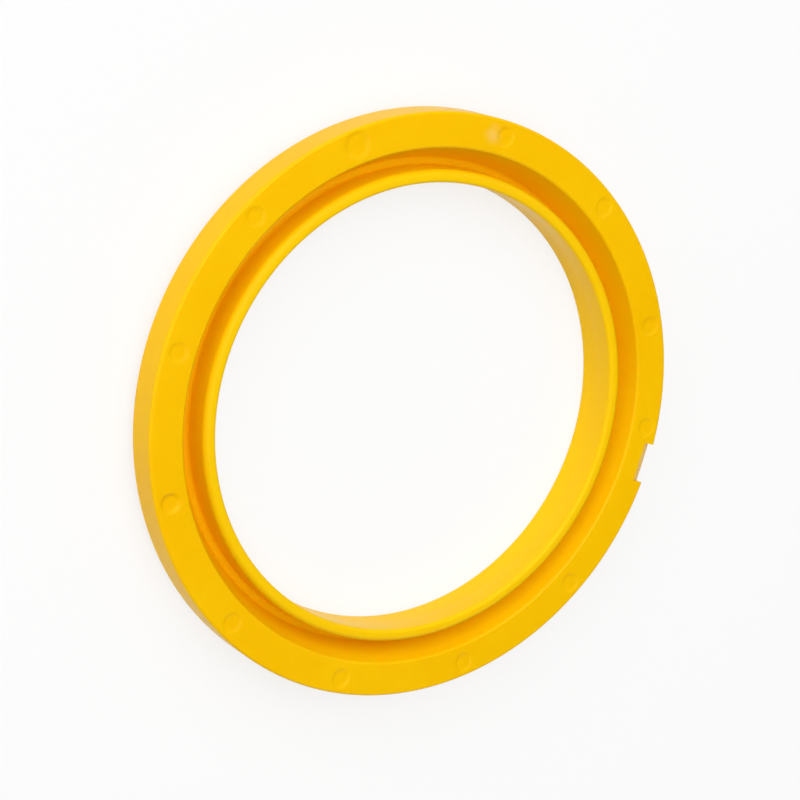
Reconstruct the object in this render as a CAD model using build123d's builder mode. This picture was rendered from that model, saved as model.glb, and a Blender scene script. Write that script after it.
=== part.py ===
# U cup seal: one moulded ring with a wide outer wall, a solid heel, a thin sealing lip and a
# U groove between them that opens to the flat pressure face. Millimetres. The ring lies on its
# heel, centred on Z, and +X runs through the notch in its rim.
import os

from build123d import *

# Overall sizes
outer_diameter = 82.55
bore_diameter = 63.65
ring_height = 7.35

# Outer wall and heel
heel_chamfer = 2.2
face_edge_chamfer = 0.3
heel_edge_chamfer = 0.3

# Sealing lip: its tip stands in from the heel bore, so that it presses on the rod
heel_land = 3.0
lip_pinch = 0.22
lip_tip_width = 1.07
lip_nose_chamfer = 0.35

# U groove, open to the face, with both walls tangent to a round root
groove_width = 3.75
groove_depth = 4.95
groove_root_radius = 0.6
groove_root_offset = 1.35
groove_mouth_chamfer = 0.15

# Notch in the rim: a flat ramp from the face down to the outer wall
notch_width = 5.8
notch_reach = 1.9
notch_drop = 1.55

# Round marks that the mould's ejector pins leave in the face. They stand at even steps round
# the ring, apart from one that clears the notch and a wide one that stands off its step
mark_steps = 12
mark_inset = 2.2
mark_diameter = 3.2
mark_depth = 0.12
deep_mark_step = 7
deep_mark_depth = 0.3
notch_mark_angle = 7.6
wide_mark_step = 4
wide_mark_angle = 124.6
wide_mark_diameter = 4.4

# Worked out from the sizes above
outer_radius = outer_diameter / 2
bore_radius = bore_diameter / 2
lip_radius = bore_radius - lip_pinch
lip_crest = lip_radius + lip_tip_width
groove_edge = lip_crest + groove_width
groove_floor = ring_height - groove_depth
root_radius = lip_crest + groove_root_offset
mark_circle_radius = outer_radius - mark_inset

# Each mark's angle, diameter and depth
marks = [(360 / mark_steps * step, mark_diameter, mark_depth) for step in range(mark_steps)]
marks[0] = (notch_mark_angle, mark_diameter, mark_depth)
marks[wide_mark_step] = (wide_mark_angle, wide_mark_diameter, mark_depth)
marks[deep_mark_step] = (360 / mark_steps * deep_mark_step, mark_diameter, deep_mark_depth)

with BuildPart() as u_cup_seal:
    with BuildSketch(Plane.XZ) as section:
        with BuildLine():
            root_circle = CenterArc(
                (root_radius, groove_floor + groove_root_radius),
                groove_root_radius,
                start_angle=0,
                arc_size=360,
                mode=Mode.PRIVATE,
            )
            outer_side = ConstrainedLines(
                root_circle,
                (groove_edge, ring_height),
                selector=lambda lines: lines.sort_by(Axis.X)[-1],
            )
            lip_side = ConstrainedLines(
                root_circle,
                (lip_crest, ring_height),
                selector=lambda lines: lines.sort_by(Axis.X)[0],
            )
            ThreePointArc(
                outer_side.vertices().sort_by(Axis.Y)[0],
                (root_radius, groove_floor),
                lip_side.vertices().sort_by(Axis.Y)[0],
            )
            Line((lip_crest, ring_height), (lip_radius, ring_height))
            TangentArc((bore_radius, heel_land), (lip_radius, ring_height), tangent=(0, 1))
            Polyline(
                (bore_radius, heel_land),
                (bore_radius, 0),
                (outer_radius - heel_chamfer, 0),
                (outer_radius, heel_chamfer),
                (outer_radius, ring_height),
                (groove_edge, ring_height),
            )
        make_face()

        def break_edge(radius, height, size):
            """Chamfer the section's corner that is nearest to a radius and a height."""
            chamfer(section.vertices().sort_by_distance((radius, height))[0], size)

        break_edge(outer_radius, ring_height, face_edge_chamfer)
        break_edge(bore_radius, 0, heel_edge_chamfer)
        break_edge(lip_radius, ring_height, lip_nose_chamfer)
        break_edge(groove_edge, ring_height, groove_mouth_chamfer)
    revolve(axis=Axis.Z)

    # The notch's tool is a wedge that stands clear of the rim and of the face by its own drop
    with BuildSketch(Plane.XZ):
        Polygon(
            (outer_radius - notch_reach, ring_height),
            (outer_radius, ring_height - notch_drop),
            (outer_radius + notch_drop, ring_height - notch_drop),
            (outer_radius + notch_drop, ring_height + notch_drop),
            (outer_radius - notch_reach, ring_height + notch_drop),
            align=None,
        )
    extrude(amount=notch_width / 2, both=True, mode=Mode.SUBTRACT)

    for angle, diameter, depth in marks:
        with BuildSketch(Plane.XY.offset(ring_height)):
            with PolarLocations(mark_circle_radius, 1, start_angle=angle):
                Circle(diameter / 2)
        extrude(amount=-depth, mode=Mode.SUBTRACT)

u_cup_seal.part.label = "u_cup_seal"

os.makedirs("parts", exist_ok=True)
export_step(u_cup_seal.part, "parts/u_cup_seal.step")
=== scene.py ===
from math import atan2, ceil, cos, hypot, pi, radians, sin, tan

import bpy
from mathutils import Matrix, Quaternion, Vector


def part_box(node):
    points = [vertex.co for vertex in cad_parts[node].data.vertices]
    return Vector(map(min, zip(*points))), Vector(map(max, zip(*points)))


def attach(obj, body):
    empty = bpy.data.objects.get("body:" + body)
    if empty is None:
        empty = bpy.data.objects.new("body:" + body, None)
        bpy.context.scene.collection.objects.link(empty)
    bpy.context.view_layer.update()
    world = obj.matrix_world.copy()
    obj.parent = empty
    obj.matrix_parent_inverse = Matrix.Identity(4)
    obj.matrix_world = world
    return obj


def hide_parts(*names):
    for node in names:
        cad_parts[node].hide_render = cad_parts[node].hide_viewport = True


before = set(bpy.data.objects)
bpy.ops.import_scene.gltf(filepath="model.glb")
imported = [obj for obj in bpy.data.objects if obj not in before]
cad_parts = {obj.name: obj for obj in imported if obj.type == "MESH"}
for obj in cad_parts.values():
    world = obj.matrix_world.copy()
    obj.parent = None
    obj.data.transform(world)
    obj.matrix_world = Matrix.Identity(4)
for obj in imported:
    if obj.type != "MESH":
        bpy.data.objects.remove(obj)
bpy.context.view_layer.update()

# ---------------------------------------------------------------------------------------------
# Seal ring
# One ring of yellow polyurethane, moulded in one shot in a turned steel mould. A wide outer
# wall and a thin lip stand on a solid heel, with a U groove between them. It is worked on in
# millimetres and brought to metres when its mesh is finished.

millimetre = 0.001
box_low, box_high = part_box("u_cup_seal")
outer_radius = min(-box_low.x, box_high.x, -box_low.y, box_high.y) / millimetre
ring_height = box_high.z / millimetre

ring_steps = 480
bore_radius = 31.825
heel_chamfer = 2.2
heel_land = 3.0
lip_pinch = 0.22
lip_tip_width = 1.745
lip_bow_steps = 6
arc_step = radians(11)
seam_merge = 0.005
groove_width = 3.075
wall_lean = radians(21.95)
lip_lean = radians(1.0)

lip_radius = bore_radius - lip_pinch
lip_crest = lip_radius + lip_tip_width
groove_edge = lip_crest + groove_width
groove_point_depth = groove_width / (tan(wall_lean) + tan(lip_lean))
groove_point = lip_crest + groove_point_depth * tan(lip_lean)

# Corners of the section, from the heel's bore edge round to the lip's bowed inner side: radius,
# height and radius of the rounding
corners = [
    (bore_radius, 0, 0.3),
    (outer_radius - heel_chamfer, 0, 0.4),
    (outer_radius, heel_chamfer, 0.4),
    (outer_radius, ring_height, 0.4),
    (groove_edge, ring_height, 0.45),
    (groove_point, ring_height - groove_point_depth, 0.6),
    (lip_crest, ring_height, 0.85),
    (lip_radius, ring_height, 0.5),
]
for step in range(1, lip_bow_steps + 1):
    drop = step / lip_bow_steps
    bow_radius = lip_radius + lip_pinch * drop**2
    corners.append((bow_radius, ring_height + (heel_land - ring_height) * drop, 0))

section = []
for number, (radius, height, rounding) in enumerate(corners):
    before = corners[number - 1]
    after = corners[(number + 1) % len(corners)]
    heading = atan2(height - before[1], radius - before[0])
    turn = (atan2(after[1] - height, after[0] - radius) - heading + pi) % (2 * pi) - pi
    set_back = rounding * tan(abs(turn) / 2)
    side = rounding if turn > 0 else -rounding
    centre = (radius - set_back * cos(heading) - side * sin(heading),
              height - set_back * sin(heading) + side * cos(heading))
    steps = ceil(abs(turn) / arc_step) if rounding else 0
    for step in range(steps + 1):
        tangent = heading + turn * step / max(steps, 1)
        section.append((centre[0] + side * sin(tangent), centre[1] - side * cos(tangent)))

bpy.ops.object.select_all(action="DESELECT")
bpy.ops.mesh.primitive_circle_add(vertices=ring_steps, radius=section[0][0],
                                  location=(0, 0, section[0][1]))
seal = bpy.context.object
seal.name = "seal_ring"
bpy.ops.object.transform_apply(location=True, rotation=False, scale=False)
bpy.ops.object.mode_set(mode="EDIT")
bpy.ops.mesh.select_all(action="SELECT")
for (radius, height), (next_radius, next_height) in zip(section, section[1:] + section[:1]):
    spread = next_radius / radius
    bpy.ops.mesh.extrude_edges_move(TRANSFORM_OT_translate={"value": (0, 0, next_height - height)})
    bpy.ops.transform.resize(value=(spread, spread, 1), center_override=(0, 0, 0))
bpy.ops.mesh.select_all(action="SELECT")
bpy.ops.mesh.remove_doubles(threshold=seam_merge)
bpy.ops.mesh.normals_make_consistent(inside=False)
bpy.ops.object.mode_set(mode="OBJECT")

# Marks of the mould: a ramped notch in the rim, and the round dishes that the ejector pins
# leave in the face. Each one's tool is made, then cut from the ring.
notch_width = 5.8
notch_reach = 1.9
notch_drop = 1.55
tool_clearance = 3.0
cube_size = 1.0

bpy.ops.object.select_all(action="DESELECT")
bpy.ops.mesh.primitive_cube_add(size=cube_size)
notch_tool = bpy.context.object
bpy.ops.object.mode_set(mode="EDIT")
bpy.ops.mesh.select_all(action="SELECT")
ramp_length = hypot(notch_reach, notch_drop) + tool_clearance
ramp_slope = atan2(notch_drop, notch_reach)
bpy.ops.transform.translate(value=(cube_size / 2, 0, cube_size / 2))
bpy.ops.transform.resize(value=(ramp_length, notch_width, tool_clearance), center_override=(0, 0, 0))
bpy.ops.transform.rotate(value=-ramp_slope, orient_axis="Y", center_override=(0, 0, 0))
bpy.ops.transform.translate(value=(outer_radius - notch_reach, 0, ring_height))
bpy.ops.object.mode_set(mode="OBJECT")

mark_steps = 12
mark_inset = 2.2
mark_width = 3.2
mark_wall = 0.7
mark_depth = 0.15
mark_sides = 48
mark_rings = 6
notch_mark_angle = 7.6
wide_mark_step = 4
wide_mark = (124.6, 4.4, 1.0, 0.2)
deep_mark_step = 7
deep_mark_depth = 0.3
brim_reach = 6
cut_merge = 0.001
smooth_angle = radians(35)

# Each mark's angle, width, width of its sloping wall, and depth
marks = [(360 / mark_steps * step, mark_width, mark_wall, mark_depth) for step in range(mark_steps)]
marks[0] = (notch_mark_angle, mark_width, mark_wall, mark_depth)
marks[wide_mark_step] = wide_mark
marks[deep_mark_step] = (360 / mark_steps * deep_mark_step, mark_width, mark_wall, deep_mark_depth)
tools = [notch_tool]
for angle, width, wall, depth in marks:
    place = Quaternion((0, 0, 1), radians(angle)) @ Vector((outer_radius - mark_inset, 0, ring_height))
    bpy.ops.object.select_all(action="DESELECT")
    bpy.ops.mesh.primitive_circle_add(vertices=mark_sides, radius=width / 2 - wall,
                                      fill_type="NGON", location=place - Vector((0, 0, depth)))
    tools.append(bpy.context.object)
    bpy.ops.object.transform_apply(location=True, rotation=False, scale=False)
    bpy.ops.object.mode_set(mode="EDIT")
    bpy.ops.mesh.select_all(action="SELECT")
    dish = [(width / 2 - wall + wall * step / mark_rings, -depth * (1 + cos(pi * step / mark_rings)) / 2)
            for step in range(mark_rings + 1)]
    # The last slope runs on past the face, so that the cut has a clean brim
    dish[-1] = [inner + brim_reach * (brim - inner) for inner, brim in zip(dish[-2], dish[-1])]
    for ring, following in zip(dish, dish[1:]):
        spread = following[0] / ring[0]
        bpy.ops.mesh.extrude_region_move(TRANSFORM_OT_translate={"value": (0, 0, following[1] - ring[1])})
        bpy.ops.transform.resize(value=(spread, spread, 1), center_override=place)
    bpy.ops.mesh.select_all(action="SELECT")
    bpy.ops.mesh.normals_make_consistent(inside=False)
    bpy.ops.object.mode_set(mode="OBJECT")

bpy.ops.object.select_all(action="DESELECT")
for tool in tools:
    tool.select_set(True)
bpy.context.view_layer.objects.active = notch_tool
bpy.ops.object.join()
bpy.ops.object.select_all(action="DESELECT")
seal.select_set(True)
bpy.context.view_layer.objects.active = seal
cut = seal.modifiers.new("cut", "BOOLEAN")
cut.operation = "DIFFERENCE"
cut.solver = "EXACT"
cut.object = notch_tool
bpy.ops.object.modifier_apply(modifier=cut.name)
bpy.data.objects.remove(notch_tool)

bpy.ops.object.mode_set(mode="EDIT")
bpy.ops.mesh.select_all(action="SELECT")
bpy.ops.mesh.remove_doubles(threshold=cut_merge)
bpy.ops.transform.resize(value=(millimetre,) * 3, center_override=(0, 0, 0))
bpy.ops.object.mode_set(mode="OBJECT")
bpy.ops.object.shade_smooth_by_angle(angle=smooth_angle)
even = seal.modifiers.new("even", "WEIGHTED_NORMAL")
even.keep_sharp = True
bpy.ops.object.modifier_apply(modifier=even.name)


class Shade:
    """A socket in a material. Python's arithmetic on it adds the Math nodes."""

    def __init__(self, tree, socket=None):
        self.tree = tree
        self.socket = socket

    def node(self, kind, settings=None, values=None, output=0):
        """Add a node of any kind: its settings first, then its sockets' values or links."""
        added = self.tree.nodes.new(kind)
        for name, value in (settings or {}).items():
            setattr(added, name, value)
        for name, value in (values or {}).items():
            if isinstance(value, Shade):
                self.tree.links.new(value.socket, added.inputs[name])
            else:
                added.inputs[name].default_value = value
        return Shade(self.tree, added.outputs[output])

    def math(self, operation, first, second=0.0):
        return self.node("ShaderNodeMath", {"operation": operation}, {0: first, 1: second})

    def __add__(self, other):
        return self.math("ADD", self, other)

    __radd__ = __add__

    def __sub__(self, other):
        return self.math("SUBTRACT", self, other)

    def __rsub__(self, other):
        return self.math("SUBTRACT", other, self)

    def __mul__(self, other):
        return self.math("MULTIPLY", self, other)

    __rmul__ = __mul__


deep_yellow = (0.94, 0.505, 0.0, 1)
clear_yellow = (0.965, 0.56, 0.001, 1)
# Lighter yellow of the painted glow of light through the thin lip and bore
painted_lip_glow = (0.97, 0.61, 0.003, 1)
pale_melt = (0.93, 0.66, 0.28, 1)
painted_glow_start = 0.0324
painted_glow_end = 0.0336
streak_centre = Vector((-0.0021, 0.0388, 0.0073))
streak_core = 0.0006
streak_edge = 0.0026
streak_fray = 0.0016
turning_pitch = 0.00042


def polyurethane():
    """Yellow moulded polyurethane: half glossy, a little clouded, with the mould's turning rings."""
    material = bpy.data.materials.new("yellow_polyurethane")
    material.use_nodes = True
    tree = material.node_tree
    shader = tree.nodes["Principled BSDF"]
    shade = Shade(tree)
    place = shade.node("ShaderNodeTexCoord", output="Object")
    level = shade.node("ShaderNodeVectorMath", {"operation": "MULTIPLY"}, {0: place, 1: (1, 1, 0)})
    radius = shade.node("ShaderNodeVectorMath", {"operation": "LENGTH"}, {0: level}, output="Value")

    # Colour: broad clouds of a deeper yellow, finer mottling, a painted glow that lightens the thin lip
    # and the bore as light shining through the thin lip would, and one pale streak where two flows of the
    # melt met
    cloud = shade.node("ShaderNodeTexNoise", {}, {"Vector": place, "Scale": 90.0, "Detail": 3.0})
    mottle = shade.node("ShaderNodeTexNoise", {}, {"Vector": place, "Scale": 700.0, "Detail": 2.0})
    clouded = shade.node("ShaderNodeMix", {"data_type": "RGBA", "clamp_factor": True},
                         {"Factor": 1.6 * cloud + 0.4 * mottle - 0.5,
                          6: deep_yellow, 7: clear_yellow}, output=2)
    # Painted light: inside this radius the thin lip and the bore are blended towards a lighter yellow, a
    # painted glow of light through the thin lip
    painted_glow_mask = shade.node("ShaderNodeMapRange", {"interpolation_type": "SMOOTHSTEP"},
                      {"Value": radius, "From Min": painted_glow_start, "From Max": painted_glow_end,
                       "To Min": 0.7, "To Max": 0.0})
    clouded_and_glow = shade.node("ShaderNodeMix", {"data_type": "RGBA"},
                     {"Factor": painted_glow_mask, 6: clouded, 7: painted_lip_glow}, output=2)
    from_streak = shade.node("ShaderNodeVectorMath", {"operation": "DISTANCE"},
                             {0: place, 1: streak_centre}, output="Value")
    streak = shade.node("ShaderNodeMapRange", {"interpolation_type": "SMOOTHSTEP"},
                        {"Value": from_streak + streak_fray * mottle, "From Min": streak_core,
                         "From Max": streak_edge, "To Min": 0.35, "To Max": 0.0})
    colour = shade.node("ShaderNodeMix", {"data_type": "RGBA"},
                        {"Factor": streak, 6: clouded_and_glow, 7: pale_melt}, output=2)
    tree.links.new(colour.socket, shader.inputs["Base Color"])

    # Surface: slow waves from uneven shrinking, fine turning rings, and a fine grain
    waves = shade.node("ShaderNodeTexNoise", {}, {"Vector": place, "Scale": 160.0, "Detail": 1.0})
    grain = shade.node("ShaderNodeTexNoise", {}, {"Vector": place, "Scale": 2600.0, "Detail": 2.0})
    rings = shade.node("ShaderNodeMath", {"operation": "SINE"}, {0: radius * (2 * pi / turning_pitch)})
    relief = 1.0 * waves + 0.012 * rings + 0.05 * grain
    bump = shade.node("ShaderNodeBump", {}, {"Strength": 0.5, "Distance": 0.0001, "Height": relief})
    tree.links.new(bump.socket, shader.inputs["Normal"])
    roughness = 0.24 + 0.1 * grain + 0.06 * cloud
    tree.links.new(roughness.socket, shader.inputs["Roughness"])
    shader.inputs["Specular IOR Level"].default_value = 0.07
    shader.inputs["Subsurface Weight"].default_value = 0.25
    shader.inputs["Subsurface Radius"].default_value = (1.0, 0.5, 0.05)
    shader.inputs["Subsurface Scale"].default_value = 0.0015
    return material


seal.data.materials.clear()
seal.data.materials.append(polyurethane())
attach(seal, "root")
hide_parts("u_cup_seal")

# ---------------------------------------------------------------------------------------------
# Floor
# A plain pale sheet under the ring, large enough to fill every view.

floor_size = 6.0
floor_gap = 0.00001
bpy.ops.object.select_all(action="DESELECT")
bpy.ops.mesh.primitive_plane_add(size=floor_size, location=(0, 0, box_low.z - floor_gap))
floor = bpy.context.object
floor.name = "floor"
paper = bpy.data.materials.new("white_paper")
paper.use_nodes = True
paper_tree = paper.node_tree
paper_shader = paper_tree.nodes["Principled BSDF"]
paper_shader.inputs["Base Color"].default_value = (0.9, 0.9, 0.9, 1)
paper_shader.inputs["Roughness"].default_value = 0.9
paper_shader.inputs["Specular IOR Level"].default_value = 0.0
paper_shade = Shade(paper_tree)
seen = 0
for ray in ("Is Camera Ray", "Is Glossy Ray", "Is Transmission Ray"):
    seen = seen + paper_shade.node("ShaderNodeLightPath", output=ray)
white_share = 0.75
white = paper_shade.node("ShaderNodeEmission", {}, {"Color": (1, 1, 1, 1), "Strength": 1.0})
sheet = paper_shade.node("ShaderNodeMixShader", {},
                         {0: seen * white_share, 1: Shade(paper_tree, paper_shader.outputs["BSDF"]),
                          2: white})
paper_tree.links.new(sheet.socket, paper_tree.nodes["Material Output"].inputs["Surface"])
floor.data.materials.append(paper)

# ---------------------------------------------------------------------------------------------
# Studio light
# One very large softbox at the side, one overhead, and three weak ones round the ring.


lamp_distance = 0.8


def softbox(name, azimuth, elevation, size, power):
    """A square lamp that faces the ring from an azimuth and an elevation, in degrees."""
    lamp = bpy.data.lights.new(name, "AREA")
    lamp.shape = "SQUARE"
    lamp.size = size
    lamp.energy = power
    holder = bpy.data.objects.new(name, lamp)
    bpy.context.scene.collection.objects.link(holder)
    towards = Vector((cos(radians(elevation)) * cos(radians(azimuth)),
                      cos(radians(elevation)) * sin(radians(azimuth)), sin(radians(elevation))))
    holder.location = towards * lamp_distance
    holder.rotation_euler = towards.to_track_quat("Z", "Y").to_euler()


softbox("key_lamp", azimuth=135, elevation=42, size=0.9, power=5.5)
softbox("top_lamp", azimuth=180, elevation=80, size=0.7, power=3.1)
softbox("side_lamp", azimuth=45, elevation=40, size=0.5, power=0.7)
softbox("low_lamp", azimuth=315, elevation=20, size=0.5, power=0.8)
softbox("front_lamp", azimuth=205, elevation=20, size=0.5, power=0.8)

world = bpy.data.worlds.new("studio")
bpy.context.scene.world = world
world.use_nodes = True
world.node_tree.nodes["Background"].inputs["Color"].default_value = (1, 1, 1, 1)
world.node_tree.nodes["Background"].inputs["Strength"].default_value = 0.06

# ---------------------------------------------------------------------------------------------
# Camera
# It looks down on the ring from the side away from the notch, rolled so that the notch lies at
# the right of the picture.

view_azimuth = radians(170.6)
view_elevation = radians(55.7335)
view_roll = radians(114.6918)
view_distance = 0.3411795
aim = Vector((-0.004078, 0.0007224, box_high.z))

camera_data = bpy.data.cameras.new("camera")
camera_data.sensor_width = 36.0
camera_data.lens = 112.5
camera = bpy.data.objects.new("camera", camera_data)
bpy.context.scene.collection.objects.link(camera)
aside = Vector((cos(view_azimuth), sin(view_azimuth), 0))
towards_camera = aside * cos(view_elevation) + Vector((0, 0, sin(view_elevation)))
camera.location = aim + towards_camera * view_distance
turned = towards_camera.to_track_quat("Z", "Y") @ Quaternion((0, 0, 1), view_roll)
camera.rotation_euler = turned.to_euler()
bpy.context.scene.camera = camera
bpy.context.scene.view_settings.view_transform = "Standard"
